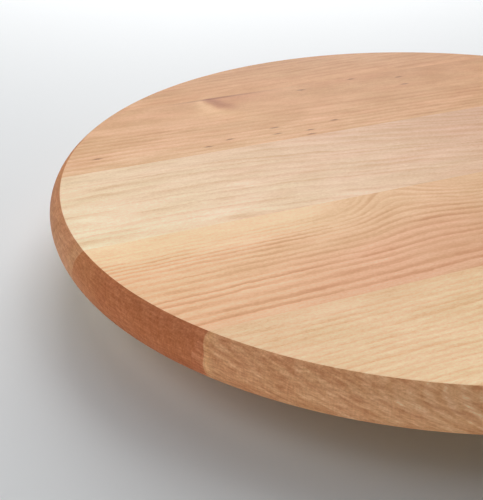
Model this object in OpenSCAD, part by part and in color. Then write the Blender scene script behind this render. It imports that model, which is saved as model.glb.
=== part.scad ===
// Round wooden turntable for the table: an edge-glued tray that turns on a
// square pressed-steel ball bearing, on a smaller base disc with rubber feet.
// The origin is on the floor under the axis, +Z up, with the grain along X.

/* [Tray] */
// Diameter of the tray at the widest point of its rim
tray_d = 390; // [320:5:450]
// Thickness of the tray
tray_t = 17; // [15:0.5:21]
// Depth of the rim's widest point below the top face
rim_depth = 10.7; // [9:0.1:12]
// How far the top edge stands in from the rim's widest point
rim_inset = 6; // [5:0.1:7]

/* [Tray staves] */
// Width of the middle stave
middle_stave_w = 79; // [50:0.5:90]
// Width of the inner stave behind the middle one
rear_stave_w = 81.5; // [50:0.5:90]
// Width of the inner stave in front of the middle one
front_stave_w = 77.5; // [50:0.5:90]
// How far the middle stave reaches in front of the axis
middle_stave_y = 25; // [10:0.5:45]

/* [Base] */
// How far the base disc reaches beyond the corners of the race plates
base_margin = 21; // [17:0.5:35]
// Thickness of the base disc
base_t = 12; // [11:0.5:20]
// Rounding of the base disc's two edges
base_edge_r = 3; // [1:0.5:4]
// Width of the base's middle stave
base_stave_w = 80; // [50:1:96]
// Diameter of the hole that a screwdriver reaches the tray's screws through
access_d = 16; // [12:1:20]

/* [Bearing] */
// Side of the two square race plates
plate_w = 140; // [110:1:160]
// Rounding of the race plates' corners
plate_corner_r = 8; // [3:1:12]
// Thickness of the pressed steel sheet
sheet_t = 1.2; // [0.9:0.1:1.6]
// Distance of the balls' circle from the plates' sides
race_inset = 10; // [8:0.5:20]
// Diameter of a ball
ball_d = 4.8; // [4:0.1:6]
// Number of balls
ball_count = 24; // [12:1:36]
// Thickness of the ball cage
cage_t = 1.6; // [1:0.1:1.8]
// Width of the ball cage's ring
cage_w = 8.4; // [7.6:0.1:9]

/* [Plate screws] */
// Distance of the screws from the plates' sides
screw_inset = 8; // [6.5:0.5:10]
// Diameter of the screws' shanks
screw_d = 3.5; // [3:0.1:4.2]
// Diameter of the screws' heads
screw_head_d = 7; // [6:0.1:8]
// Height of the screws' heads
screw_head_h = 2; // [1.4:0.1:2.2]
// Length under the head of the screws into the tray
tray_screw_l = 13; // [9:0.5:15]
// Length under the head of the screws into the base
base_screw_l = 10; // [7:0.5:11]

/* [Feet] */
// Diameter of a foot
foot_d = 16; // [13:0.5:22]
// Height of a foot
foot_h = 4; // [3.6:0.1:8]
// Distance of the feet from the base's edge
foot_inset = 7; // [4:0.5:15]
// Diameter of the washer in a foot
washer_d = 7.4; // [6.6:0.1:9]
// Thickness of the washer in a foot
washer_t = 0.6; // [0.4:0.1:1]
// Diameter of a foot screw's shank
foot_screw_d = 3; // [2.5:0.1:3.5]
// Diameter of a foot screw's head
foot_head_d = 5.6; // [5:0.1:6.2]
// Height of a foot screw's head
foot_head_h = 1.5; // [1:0.1:1.8]
// Depth that a foot screw goes into the base
foot_screw_depth = 8; // [5:0.5:10]

/* [Clearances] */
// Gap between a ball and its races
ball_gap = 0.1; // [0.05:0.01:0.2]
// Gap between a ball and its pocket in the cage
pocket_gap = 0.2; // [0.1:0.05:0.3]
// Gap between two pressed edges that turn past each other
run_gap = 0.5; // [0.3:0.1:0.7]
// Gap under the hooked flange, which lets the tray lift a little
hook_gap = 0.3; // [0.2:0.1:0.5]
// Gap round a screw's shank in its pilot hole in the wood
pilot_gap = 0.05; // [0.02:0.01:0.1]
// Gap round a screw's shank in the steel and in the washer
shank_gap = 0.3; // [0.2:0.05:0.5]

/* [Hidden] */
$fn = 96;

// Length by which a cutting tool runs past a face
past = 1;

// Rim of the tray: an arc whose centre lies level with the widest point
tray_r = tray_d / 2;
rim_r = (rim_depth * rim_depth + rim_inset * rim_inset) / (2 * rim_inset);
rim_x = tray_r - rim_r;

// Seams between the tray's staves, from front to rear
seam_front = -middle_stave_y - front_stave_w;
seam_middle_front = -middle_stave_y;
seam_middle_rear = middle_stave_w - middle_stave_y;
seam_rear = seam_middle_rear + rear_stave_w;

// Races: the two pressed channels wrap the balls, one sheet thick
ball_r = ball_d / 2;
race_r = plate_w / 2 - race_inset;
channel_in = ball_r + ball_gap;
channel_out = channel_in + sheet_t;
channel_lift = 0.3;
channel_open = 0.4;
bearing_h = 2 * (channel_out + channel_lift);

// Ring edges of the bearing, from the cage inwards
cage_gap = 0.6;
cage_in = race_r - cage_w / 2;
cage_out = race_r + cage_w / 2;
riser_out = cage_in - cage_gap;
riser_in = riser_out - sheet_t;
hook_reach = 2.3;
hook_out = riser_in - run_gap;
collar_out = hook_out - hook_reach;
collar_in = collar_out - sheet_t;
lip_gap = 0.8;
lip_in = collar_out + lip_gap;

// Heights above the floor
base_z = foot_h;
bearing_z = base_z + base_t;
ball_z = bearing_z + bearing_h / 2;
tray_z = bearing_z + bearing_h;
hook_top = ball_z - sheet_t / 2 - hook_gap;

// Screws of the plates: their corners, and the access hole on the same circle
screw_r = screw_d / 2;
screw_xy = plate_w / 2 - screw_inset;
access_x = screw_xy * sqrt(2);
screw_tip = 3;

// Base and feet: the feet lie on a circle near the base's edge, at its four diagonals,
// and the outer staves are cut from blanks that reach to the next whole millimetre
base_r = plate_w / sqrt(2) + base_margin;
base_reach = ceil(base_r);
foot_r = foot_d / 2;
foot_xy = (base_r - foot_inset - foot_r) / sqrt(2);
foot_web = 0.8;
foot_bevel = 0.6;
washer_z = foot_h - foot_web - washer_t;
well_r = washer_d / 2 - 0.3;
foot_screw_r = foot_screw_d / 2;
foot_tip = 2;

// The four corners of a square pattern, as signs
CORNERS = [[-1, 1], [1, 1], [-1, -1], [1, -1]];

module at_corners(xy) {
    for (c = CORNERS) translate([c[0] * xy, c[1] * xy, 0]) children();
}

// A ring between two radii, standing from z to z + h
module ring(r_in, r_out, z, h) {
    translate([0, 0, z]) difference() {
        cylinder(r = r_out, h = h);
        translate([0, 0, -past]) cylinder(r = r_in, h = h + 2 * past);
    }
}

// A slab across the whole object between two heights
module slab(z0, z1) {
    translate([-tray_r, -tray_r, z0]) cube([tray_d, tray_d, z1 - z0]);
}

// A square plate with rounded corners: two crossed bars and four discs
module rounded_plate(w, r, z, h) {
    translate([0, 0, z]) {
        translate([-w / 2, -w / 2 + r, 0]) cube([w, w - 2 * r, h]);
        translate([-w / 2 + r, -w / 2, 0]) cube([w - 2 * r, w, h]);
        at_corners(w / 2 - r) cylinder(r = r, h = h);
    }
}

// A wood screw with a low head that stands on z = 0 and a shank below it
module wood_screw(shank_r, length, head_r, head_h, tip) {
    slot_w = 0.3 * head_r;
    slot_l = 1.2 * head_r;
    difference() {
        rotate_extrude() polygon([
            [0, 0], [head_r, 0], [head_r, 0.4 * head_h],
            [0.7 * head_r, head_h], [0, head_h]
        ]);
        for (turn = [0, 90]) rotate([0, 0, turn])
            translate([-slot_l / 2, -slot_w / 2, 0.4 * head_h])
                cube([slot_l, slot_w, head_h]);
    }
    translate([0, 0, tip - length]) cylinder(r = shank_r, h = length - tip);
    translate([0, 0, -length]) cylinder(r1 = 0.15 * shank_r, r2 = shank_r, h = tip);
}

// Half section of the tray: flat faces and one arc round the rim
module tray_section() {
    intersection() {
        square([tray_r, tray_t]);
        union() {
            square([rim_x, tray_t]);
            translate([rim_x, tray_t - rim_depth]) circle(r = rim_r);
        }
    }
}

// The part of the tray between two seams, with its pilot holes
module tray_stave(y0, y1) {
    difference() {
        intersection() {
            translate([0, 0, tray_z]) rotate_extrude() tray_section();
            translate([-tray_r, y0, tray_z]) cube([tray_d, y1 - y0, tray_t]);
        }
        at_corners(screw_xy) translate([0, 0, tray_z - past])
            cylinder(r = screw_r + pilot_gap, h = tray_screw_l - sheet_t + past);
    }
}

module tray_stave_rear_outer() {
    color([0.90, 0.75, 0.61]) tray_stave(seam_rear, tray_r);
}
module tray_stave_rear_inner() {
    color([0.90, 0.74, 0.60]) tray_stave(seam_middle_rear, seam_rear);
}
module tray_stave_middle() {
    color([0.93, 0.83, 0.69]) tray_stave(seam_middle_front, seam_middle_rear);
}
module tray_stave_front_inner() {
    color([0.91, 0.74, 0.59]) tray_stave(seam_front, seam_middle_front);
}
module tray_stave_front_outer() {
    color([0.90, 0.77, 0.62]) tray_stave(-tray_r, seam_front);
}

// Half section of the base disc: a rectangle with two rounded edges
module base_section() {
    inner = base_r - base_edge_r;
    square([inner, base_t]);
    translate([0, base_edge_r]) square([base_r, base_t - 2 * base_edge_r]);
    for (z = [base_edge_r, base_t - base_edge_r])
        translate([inner, z]) circle(r = base_edge_r);
}

// The part of the base between two seams, with its holes
module base_stave(y0, y1) {
    difference() {
        intersection() {
            translate([0, 0, base_z]) rotate_extrude() base_section();
            translate([-base_reach, y0, base_z]) cube([2 * base_reach, y1 - y0, base_t]);
        }
        at_corners(screw_xy) translate([0, 0, bearing_z + sheet_t - base_screw_l])
            cylinder(r = screw_r + pilot_gap, h = base_screw_l + past);
        at_corners(foot_xy) translate([0, 0, base_z - past])
            cylinder(r = foot_screw_r + pilot_gap, h = foot_screw_depth + past);
        translate([access_x, 0, base_z - past]) cylinder(d = access_d, h = base_t + 2 * past);
    }
}

module base_stave_rear() {
    color([0.90, 0.76, 0.61]) base_stave(base_stave_w / 2, base_reach);
}
module base_stave_middle() {
    color([0.92, 0.80, 0.66]) base_stave(-base_stave_w / 2, base_stave_w / 2);
}
module base_stave_front() {
    color([0.89, 0.75, 0.60]) base_stave(-base_reach, -base_stave_w / 2);
}

// The pressed channel that half wraps the balls, seen as two round walls
module channel() {
    translate([0, 0, ball_z]) rotate_extrude() translate([race_r, 0]) difference() {
        circle(r = channel_out);
        circle(r = channel_in);
    }
}

// Holes for the plate screws in a plate that lies at height z
module plate_holes(z) {
    at_corners(screw_xy) translate([0, 0, z - past])
        cylinder(r = screw_r + shank_gap, h = sheet_t + 2 * past);
}

// Lower plate: flat sheet, lower channel, and a riser with an inward lip
module lower_race_plate() {
    color([0.74, 0.75, 0.77]) {
        difference() {
            rounded_plate(plate_w, plate_corner_r, bearing_z, sheet_t);
            translate([0, 0, bearing_z - past]) cylinder(r = riser_in, h = sheet_t + 2 * past);
            plate_holes(bearing_z);
        }
        intersection() {
            channel();
            slab(bearing_z, ball_z - cage_t / 2 - channel_open);
        }
        ring(riser_in, riser_out, bearing_z, ball_z + sheet_t / 2 - bearing_z);
        ring(lip_in, riser_out, ball_z - sheet_t / 2, sheet_t);
    }
}

// Upper plate: flat sheet, upper channel, and a collar hooked under the lip
module upper_race_plate() {
    color([0.76, 0.77, 0.79]) {
        difference() {
            rounded_plate(plate_w, plate_corner_r, tray_z - sheet_t, sheet_t);
            translate([0, 0, tray_z - sheet_t - past]) cylinder(r = collar_in, h = sheet_t + 2 * past);
            plate_holes(tray_z - sheet_t);
        }
        intersection() {
            channel();
            slab(ball_z + cage_t / 2 + channel_open, tray_z);
        }
        ring(collar_in, collar_out, hook_top - sheet_t, tray_z - hook_top + sheet_t);
        ring(collar_in, hook_out, hook_top - sheet_t, sheet_t);
    }
}

// Cage: a thin ring with one round pocket for each ball
module ball_cage() {
    color([0.93, 0.92, 0.87]) difference() {
        ring(cage_in, cage_out, ball_z - cage_t / 2, cage_t);
        for (i = [0 : ball_count - 1]) rotate([0, 0, i * 360 / ball_count])
            translate([race_r, 0, ball_z - cage_t]) cylinder(r = ball_r + pocket_gap, h = 2 * cage_t);
    }
}

module bearing_balls() {
    color([0.82, 0.83, 0.85]) for (i = [0 : ball_count - 1])
        rotate([0, 0, i * 360 / ball_count]) translate([race_r, 0, ball_z]) sphere(r = ball_r);
}

// Screws down through the lower plate into the base
module lower_plate_screws() {
    color([0.66, 0.67, 0.69]) at_corners(screw_xy) translate([0, 0, bearing_z + sheet_t])
        wood_screw(screw_r, base_screw_l, screw_head_d / 2, screw_head_h, screw_tip);
}

// Screws up through the upper plate into the tray
module upper_plate_screws() {
    color([0.66, 0.67, 0.69]) at_corners(screw_xy) translate([0, 0, tray_z - sheet_t])
        mirror([0, 0, 1])
            wood_screw(screw_r, tray_screw_l, screw_head_d / 2, screw_head_h, screw_tip);
}

// A rubber foot: bevelled disc with a well for the screw, and a washer pocket
module foot(corner) {
    color([0.18, 0.18, 0.19]) translate([corner[0] * foot_xy, corner[1] * foot_xy, 0]) difference() {
        rotate_extrude() polygon([
            [0, 0], [foot_r - foot_bevel, 0], [foot_r, foot_bevel],
            [foot_r, foot_h], [0, foot_h]
        ]);
        translate([0, 0, -past]) cylinder(r = well_r, h = washer_z + past);
        translate([0, 0, washer_z]) cylinder(d = washer_d, h = washer_t);
        translate([0, 0, washer_z]) cylinder(r = foot_screw_r + shank_gap, h = foot_h);
    }
}

module foot_rear_left() foot(CORNERS[0]);
module foot_rear_right() foot(CORNERS[1]);
module foot_front_left() foot(CORNERS[2]);
module foot_front_right() foot(CORNERS[3]);

// Washers that the feet are moulded round
module foot_washers() {
    color([0.70, 0.71, 0.73]) at_corners(foot_xy)
        ring(foot_screw_r + shank_gap, washer_d / 2, washer_z, washer_t);
}

// Screws up through the feet into the base
module foot_screws() {
    length = foot_h - washer_z + foot_screw_depth;
    color([0.66, 0.67, 0.69]) at_corners(foot_xy) translate([0, 0, washer_z]) mirror([0, 0, 1])
        wood_screw(foot_screw_r, length, foot_head_d / 2, foot_head_h, foot_tip);
}

tray_stave_rear_outer();
tray_stave_rear_inner();
tray_stave_middle();
tray_stave_front_inner();
tray_stave_front_outer();
upper_race_plate();
upper_plate_screws();
ball_cage();
bearing_balls();
lower_race_plate();
lower_plate_screws();
base_stave_rear();
base_stave_middle();
base_stave_front();
foot_rear_left();
foot_rear_right();
foot_front_left();
foot_front_right();
foot_washers();
foot_screws();
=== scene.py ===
"""Looks of a round wooden table turntable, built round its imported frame.

The tray is glued up from five staves with a rounded rim, and turns on a flat
ball bearing over a smaller base disc with four rubber feet. Lengths are in
metres and the grain runs along X, unless a name or a comment says otherwise.
"""

import logging
import math
from dataclasses import dataclass
from enum import Enum
from typing import Optional, Sequence, Union

import bmesh
import bpy
import numpy as np
from mathutils import Matrix, Vector


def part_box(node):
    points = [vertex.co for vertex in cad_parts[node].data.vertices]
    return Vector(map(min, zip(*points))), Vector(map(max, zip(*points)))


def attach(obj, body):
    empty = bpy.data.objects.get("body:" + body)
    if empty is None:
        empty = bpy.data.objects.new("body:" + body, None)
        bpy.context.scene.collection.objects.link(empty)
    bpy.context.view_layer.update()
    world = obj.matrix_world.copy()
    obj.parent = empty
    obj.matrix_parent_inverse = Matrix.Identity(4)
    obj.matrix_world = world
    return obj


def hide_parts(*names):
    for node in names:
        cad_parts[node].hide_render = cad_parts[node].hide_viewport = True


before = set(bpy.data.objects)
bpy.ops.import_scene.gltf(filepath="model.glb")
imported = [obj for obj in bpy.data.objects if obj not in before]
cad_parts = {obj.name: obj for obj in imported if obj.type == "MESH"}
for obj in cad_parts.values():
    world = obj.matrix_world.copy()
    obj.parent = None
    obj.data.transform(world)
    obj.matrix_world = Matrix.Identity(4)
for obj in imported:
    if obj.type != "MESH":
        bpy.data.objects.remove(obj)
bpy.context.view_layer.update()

log = logging.getLogger("turntable")
MM = 0.001
RGB = tuple[float, float, float]


# --------------------------------------------------------------------------
# Shader formulas
# --------------------------------------------------------------------------


class Field:
    """A number that varies over a surface: one output socket of a graph."""

    def __init__(self, graph: "Graph", socket: bpy.types.NodeSocket) -> None:
        """Keeps the graph and the socket that carries the number."""
        self.graph = graph
        self.socket = socket

    def __add__(self, other: "Term") -> "Field":
        """Sum."""
        return self.graph.math("ADD", self, other)

    def __sub__(self, other: "Term") -> "Field":
        """Difference."""
        return self.graph.math("SUBTRACT", self, other)

    def __rsub__(self, other: "Term") -> "Field":
        """Difference, with the plain number first."""
        return self.graph.math("SUBTRACT", other, self)

    def __mul__(self, other: "Term") -> "Field":
        """Product."""
        return self.graph.math("MULTIPLY", self, other)

    def __truediv__(self, other: "Term") -> "Field":
        """Quotient."""
        return self.graph.math("DIVIDE", self, other)

    __radd__ = __add__

    def abs(self) -> "Field":
        """Size without its sign."""
        return self.graph.math("ABSOLUTE", self)

    def fract(self) -> "Field":
        """The part after the point."""
        return self.graph.math("FRACT", self)

    def bell(self) -> "Field":
        """The bell curve exp(-f * f), which is 1 at zero."""
        return self.graph.math("EXPONENT", self * self * -1.0)

    def smooth(self, low: float, high: float) -> "Field":
        """A soft step from 0 at `low` to 1 at `high`; falls if low > high."""
        return self.graph.step(self, low, high)


Term = Union[Field, float]


class Graph:
    """A material's node tree, written as formulas."""

    def __init__(self, name: str) -> None:
        """Makes an empty material.

        Args:
            name: the material's name.
        """
        self.material = bpy.data.materials.new(name)
        self.material.use_nodes = True
        self.tree = self.material.node_tree
        self.tree.nodes.clear()
        self.coordinates = self.tree.nodes.new("ShaderNodeTexCoord")

    def feed(self, socket: bpy.types.NodeSocket, term: Union[Term, RGB]) -> None:
        """Links a field to a socket, or writes a constant on it.

        Args:
            socket: the input to fill.
            term: a field, a number or a colour.
        """
        if isinstance(term, Field):
            self.tree.links.new(term.socket, socket)
        elif isinstance(term, tuple):
            socket.default_value = (*term, 1.0)
        else:
            socket.default_value = term

    def math(self, operation: str, *terms: Term) -> Field:
        """One Math node.

        Args:
            operation: the node's operation.
            terms: its inputs in order.

        Returns:
            The result as a field.
        """
        node = self.tree.nodes.new("ShaderNodeMath")
        node.operation = operation
        for socket, term in zip(node.inputs, terms):
            self.feed(socket, term)
        return Field(self, node.outputs[0])

    def step(self, value: Field, low: float, high: float) -> Field:
        """A soft step between two levels, which falls if the first is the higher.

        Args:
            value: the field to read.
            low: where the step leaves 0.
            high: where it reaches 1.

        Returns:
            A field from 0 to 1.
        """
        node = self.tree.nodes.new("ShaderNodeMapRange")
        node.interpolation_type = "SMOOTHSTEP"
        self.feed(node.inputs["Value"], value)
        rising = low < high
        node.inputs["From Min"].default_value = min(low, high)
        node.inputs["From Max"].default_value = max(low, high)
        node.inputs["To Min"].default_value = 0.0 if rising else 1.0
        node.inputs["To Max"].default_value = 1.0 if rising else 0.0
        return Field(self, node.outputs[0])

    def split(self, socket: bpy.types.NodeSocket) -> tuple[Field, Field, Field]:
        """Takes a vector socket apart.

        Args:
            socket: a vector output.

        Returns:
            Its three parts as fields.
        """
        node = self.tree.nodes.new("ShaderNodeSeparateXYZ")
        self.tree.links.new(socket, node.inputs[0])
        return tuple(Field(self, out) for out in node.outputs)

    def place(self) -> tuple[Field, Field, Field]:
        """The point on the object.

        Returns:
            Its three coordinates as fields, in millimetres.
        """
        scale = self.tree.nodes.new("ShaderNodeVectorMath")
        scale.operation = "SCALE"
        scale.inputs["Scale"].default_value = 1.0 / MM
        self.tree.links.new(self.coordinates.outputs["Object"], scale.inputs[0])
        return self.split(scale.outputs[0])

    def facing(self) -> tuple[Field, Field, Field]:
        """The surface's direction in the object's own axes, as three fields."""
        return self.split(self.coordinates.outputs["Normal"])

    def noise(self, place: Sequence[Term], cell: Sequence[float],
              shift: Sequence[float] = (0.0, 0.0, 0.0), detail: float = 2.0, rough: float = 0.5) -> Field:
        """Smooth random variation about zero, from -0.5 to 0.5.

        Args:
            place: where it is read, as three fields or numbers.
            cell: size of a cell of the noise along each of the three.
            shift: how many cells the noise is moved by along each.
            detail: number of finer octaves.
            rough: strength of each finer octave.

        Returns:
            The noise as a field.
        """
        join = self.tree.nodes.new("ShaderNodeCombineXYZ")
        for socket, term in zip(join.inputs, place):
            self.feed(socket, term)
        cells = self.tree.nodes.new("ShaderNodeVectorMath")
        cells.operation = "MULTIPLY_ADD"
        cells.inputs[1].default_value = [1.0 / size for size in cell]
        cells.inputs[2].default_value = shift
        node = self.tree.nodes.new("ShaderNodeTexNoise")
        node.inputs["Scale"].default_value = 1.0
        node.inputs["Detail"].default_value = detail
        node.inputs["Roughness"].default_value = rough
        self.tree.links.new(join.outputs[0], cells.inputs[0])
        self.tree.links.new(cells.outputs[0], node.inputs["Vector"])
        return Field(self, node.outputs[0]) - 0.5

    def blend(self, amount: Term, first: Union[Field, RGB], second: Union[Field, RGB]) -> Field:
        """Mixes two colours.

        Args:
            amount: share of the second colour, from 0 to 1.
            first: the first colour.
            second: the second colour.

        Returns:
            The colour as a field.
        """
        node = self.tree.nodes.new("ShaderNodeMix")
        node.data_type = "RGBA"
        node.clamp_factor = True
        colours = [socket for socket in node.inputs if socket.type == "RGBA"]
        self.feed(node.inputs[0], amount)
        self.feed(colours[0], first)
        self.feed(colours[1], second)
        return Field(self, next(socket for socket in node.outputs if socket.type == "RGBA"))

    def finish(self, colour: Union[Field, RGB], rough: Term, height: Field, relief: float,
               metallic: float = 0.0, **constants: float) -> bpy.types.Material:
        """Adds the shader and the output.

        Args:
            colour: base colour.
            rough: roughness.
            height: field that lifts the surface.
            relief: height in metres of one unit of that field.
            metallic: 1 for bare metal.
            constants: further shader inputs by name, with _ for a space.

        Returns:
            The finished material.
        """
        shader = self.tree.nodes.new("ShaderNodeBsdfPrincipled")
        output = self.tree.nodes.new("ShaderNodeOutputMaterial")
        self.feed(shader.inputs["Base Color"], colour)
        self.feed(shader.inputs["Roughness"], rough)
        shader.inputs["Metallic"].default_value = metallic
        for name, value in constants.items():
            shader.inputs[name.replace("_", " ")].default_value = value
        bump = self.tree.nodes.new("ShaderNodeBump")
        bump.inputs["Distance"].default_value = relief
        self.feed(bump.inputs["Height"], height)
        self.tree.links.new(bump.outputs[0], shader.inputs["Normal"])
        self.tree.links.new(shader.outputs[0], output.inputs[0])
        return self.material


class Stain:
    """A colour kept as the logarithms of its three parts, so that tints multiply."""

    def __init__(self, graph: Graph, colour: RGB) -> None:
        """Starts with a plain colour.

        Args:
            graph: the graph.
            colour: the colour.
        """
        self.graph = graph
        self.logs: list[Term] = [math.log(part) for part in colour]

    def add(self, amount: Term, tint: RGB) -> None:
        """Multiplies the colour by a tint, raised to an amount.

        Args:
            amount: 0 for no change and 1 for the whole tint.
            tint: the colour to multiply by.
        """
        for i, part in enumerate(tint):
            self.logs[i] = amount * math.log(part) + self.logs[i]

    def drift(self, place: Field, rates: RGB) -> None:
        """Adds to the logarithms in proportion to a place.

        Args:
            place: the place, in mm.
            rates: what each part's logarithm gains in 100 mm.
        """
        for i, rate in enumerate(rates):
            self.logs[i] = place * (rate / 100.0) + self.logs[i]

    def colour(self) -> Field:
        """The colour itself: the exponential of each logarithm.

        Returns:
            The colour as a field.
        """
        node = self.graph.tree.nodes.new("ShaderNodeCombineColor")
        for socket, part in zip(node.inputs, self.logs):
            self.graph.feed(socket, self.graph.math("EXPONENT", part))
        return Field(self.graph, node.outputs[0])


# --------------------------------------------------------------------------
# Finishes
# --------------------------------------------------------------------------

# Colours that multiply the wood where each kind of mark is at its full strength
PATCH_TINT: RGB = (0.84, 0.86, 0.72)
CLOUD_TINT: RGB = (0.86, 0.78, 0.70)
FIBRE_TINT: RGB = (0.86, 0.76, 0.66)
STIPPLE_TINT: RGB = (0.86, 0.78, 0.70)
FLECK_TINT: RGB = (0.40, 0.28, 0.20)
CUT_TINT: RGB = (0.72, 0.60, 0.54)
STRAND_TINT: RGB = (0.84, 0.72, 0.62)
STREAK_TINT: RGB = (0.70, 0.50, 0.42)
KNOT_TINT: RGB = (1.22, 1.42, 1.60)
KNOT_FLANK: RGB = (0.72, 0.55, 0.46)
KNOT_SHADE: RGB = (0.90, 0.80, 0.76)
KNOT_PAST: RGB = (1.07, 1.10, 1.10)
KNOT_SEAM: RGB = (0.66, 0.52, 0.42)

MEAN_LINE = 0.25  # strength of a ring line that leaves the wood's colour as it is
DRIFT_END = 70.0  # place along the grain past which the colour stays even, in mm
FLECK_LENGTH = 2.1  # reach of a fleck along the grain, in mm
FLECK_WIDTH = 0.6  # reach of a fleck across it
STREAK_FALL = 24.0  # degrees by which the streaks on the rim fall towards +X


@dataclass(frozen=True)
class Blush:
    """A patch of another hue with a soft edge.

    Attributes:
        tint: colour that multiplies the wood where the blush is full.
        x: the patch's ends along the grain, in mm, each from faint to full.
        level: its sides across the figure, each from faint to full.
    """

    tint: RGB
    x: tuple[float, float]
    level: tuple[float, float]


@dataclass(frozen=True)
class Hill:
    """A hill in the figure, where the rings rise towards one edge.

    Attributes:
        x: place of the crest along the grain, in mm.
        left: how far the hill reaches towards -X.
        right: how far it reaches towards +X.
        height: rise of the rings at the level `y`.
        y: level across the grain where the rise is full.
        fade: distance over which the rise dies away below that level.
    """

    x: float
    left: float
    right: float
    height: float
    y: float
    fade: float


@dataclass(frozen=True)
class Knot:
    """A small overgrown shoot beside a seam: a pale wedge with a dark flank.

    Attributes:
        x: its place along the grain at the seam, in mm.
        y: its place across the grain.
        length: how far it reaches across the grain.
        lean: how far it leans along the grain over that length.
    """

    x: float
    y: float
    length: float
    lean: float


@dataclass(frozen=True)
class Heartwood:
    """A strip of red heartwood beside a seam, which shows where the rim cuts it.

    Attributes:
        seam: place of the seam across the grain, in mm; the strip lies in front of it.
        width: how far the strip reaches from the seam low on the rim.
        heights: heights between which it grows from nothing to that width.
        tint: colour that multiplies the wood on the strip.
        fringe: width of the pale edge past the strip.
        pale: colour that multiplies the wood on that edge.
    """

    seam: float
    width: float
    heights: tuple[float, float]
    tint: RGB
    fringe: float
    pale: RGB


@dataclass(frozen=True)
class Figure:
    """The year rings of one stave.

    Attributes:
        heart: place of the log's heart across the grain and in height, in mm.
        ring: width of a year ring at the distance `near` from the heart.
        near: that distance.
        widen: growth of a ring's width per mm outwards.
        uneven: how unevenly the rings are spaced, in rings.
        slope: how fast the rings drift across, per mm along the grain.
        bend: bow of the rings, per square mm along the grain.
        middle: place along the grain where the bow starts.
        wander: how far the rings wander slowly, in mm.
        ripple: how far they wander over a few centimetres.
        ragged: how far they wander within a few millimetres.
        hill: hill in the figure, if any.
        quiet: levels between which the lines fade in, from none to all.
    """

    heart: tuple[float, float]
    ring: float
    near: float = 0.0
    widen: float = 0.0
    uneven: float = 0.5
    slope: float = 0.0
    bend: float = 0.0
    middle: float = 0.0
    wander: float = 3.0
    ripple: float = 0.8
    ragged: float = 0.55
    hill: Optional[Hill] = None
    quiet: Optional[tuple[float, float]] = None

    def level(self, graph: Graph, x: Field, y: Field, z: Field, seed: float) -> Field:
        """Place across the grain, straightened so that a ring keeps its level.

        Args:
            graph: the material's node graph.
            x: place along the grain in mm.
            y: place across the grain.
            z: height.
            seed: shift of the noise.

        Returns:
            The level in mm.
        """
        slow = graph.noise((x, y, z), cell=(95.0, 26.0, 26.0), shift=(seed, 0.0, 0.0), detail=1.0)
        quick = graph.noise((x, y, z), cell=(19.0, 9.0, 9.0), shift=(seed, 0.0, seed))
        rough = graph.noise((x, y, z), cell=(4.5, 1.3, 1.3), shift=(0.0, seed, 0.0), detail=1.0)
        sway = slow * (2.0 * self.wander) + quick * (2.0 * self.ripple) + rough * (2.0 * self.ragged)
        level = y + sway - x * self.slope
        if self.bend:
            offset = x - self.middle
            level = level + offset * offset * self.bend
        if self.hill:
            level = level - self.rise(graph, x, y)
        return level

    def rise(self, graph: Graph, x: Field, y: Field) -> Field:
        """How far the hill lifts the rings.

        The rise is the bell curve of the distance from the crest over the
        hill's reach on that side, times a fall with depth below its level.

        Args:
            graph: the material's node graph.
            x: place along the grain in mm.
            y: place across the grain.

        Returns:
            The rise in mm.
        """
        hill = self.hill
        near = graph.math("MINIMUM", x - hill.x, 0.0) / hill.left
        far = graph.math("MAXIMUM", x - hill.x, 0.0) / hill.right
        depth = graph.math("MINIMUM", (y - hill.y) / hill.fade, 0.0)
        return (near + far).bell() * graph.math("EXPONENT", depth) * hill.height

    def distance(self, graph: Graph, level: Field, z: Field) -> Field:
        """Distance from the log's heart: the root of the sum of the two squared offsets.

        Args:
            graph: the material's node graph.
            level: place across the straightened grain.
            z: height.

        Returns:
            The distance in mm.
        """
        across = level - self.heart[0]
        below = z - self.heart[1]
        return graph.math("SQRT", across * across + below * below)

    def lines(self, graph: Graph, distance: Field, level: Field, x: Field, seed: float) -> Field:
        """The ring lines of a log.

        The distance from the heart is counted in rings, whose width grows
        outwards, so the count is a logarithm of the distance. Its fraction
        rises slowly through the early wood and drops at the line. Each line
        then gets its own strength, and fades in patches.

        Args:
            graph: the material's node graph.
            distance: distance from the heart.
            level: place across the straightened grain.
            x: place along the grain.
            seed: shift of the noise.

        Returns:
            A field that is 0 in early wood and up to about 1 on a line.
        """
        out = distance - self.near
        if self.widen:
            stretch = graph.math("MAXIMUM", out * (self.widen / self.ring) + 1.0, 0.4)
            count = graph.math("LOGARITHM", stretch, math.e) / self.widen
        else:
            count = out / self.ring
        spacing = graph.noise((distance, seed, seed), cell=(9.0, 1.0, 1.0))
        count = count + spacing * (2.0 * self.uneven)
        phase = count.fract()
        line = phase.smooth(0.22, 0.80) * phase.smooth(1.0, 0.85)
        each = graph.noise((count * 0.83 + seed, x, seed), cell=(1.0, 70.0, 1.0), detail=1.0)
        patch = graph.noise((x, distance, level), cell=(26.0, 5.0, 30.0), shift=(seed, 0.0, 0.0))
        line = line * graph.math("MAXIMUM", each * 1.7 + patch * 1.9 + 0.8, 0.0)
        if self.quiet:
            line = line * level.smooth(*self.quiet)
        return line


@dataclass(frozen=True)
class Spot:
    """What a wood's marks read at a point of its surface.

    Attributes:
        x: place along the grain, in mm.
        y: place across the grain.
        z: height.
        level: place across the straightened grain.
        radial: distance from the log's heart.
        rim: 1 on the rim and 0 on the faces.
        ends: 1 where the rim cuts across the fibres.
    """

    x: Field
    y: Field
    z: Field
    level: Field
    radial: Field
    rim: Field
    ends: Field

    @property
    def place(self) -> tuple[Field, Field, Field]:
        """The point itself."""
        return self.x, self.y, self.z

    @property
    def rings(self) -> tuple[Field, Field, Field]:
        """The point as the rings have it: along the grain, out from the heart and along a ring."""
        return self.x, self.radial, self.level


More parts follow.
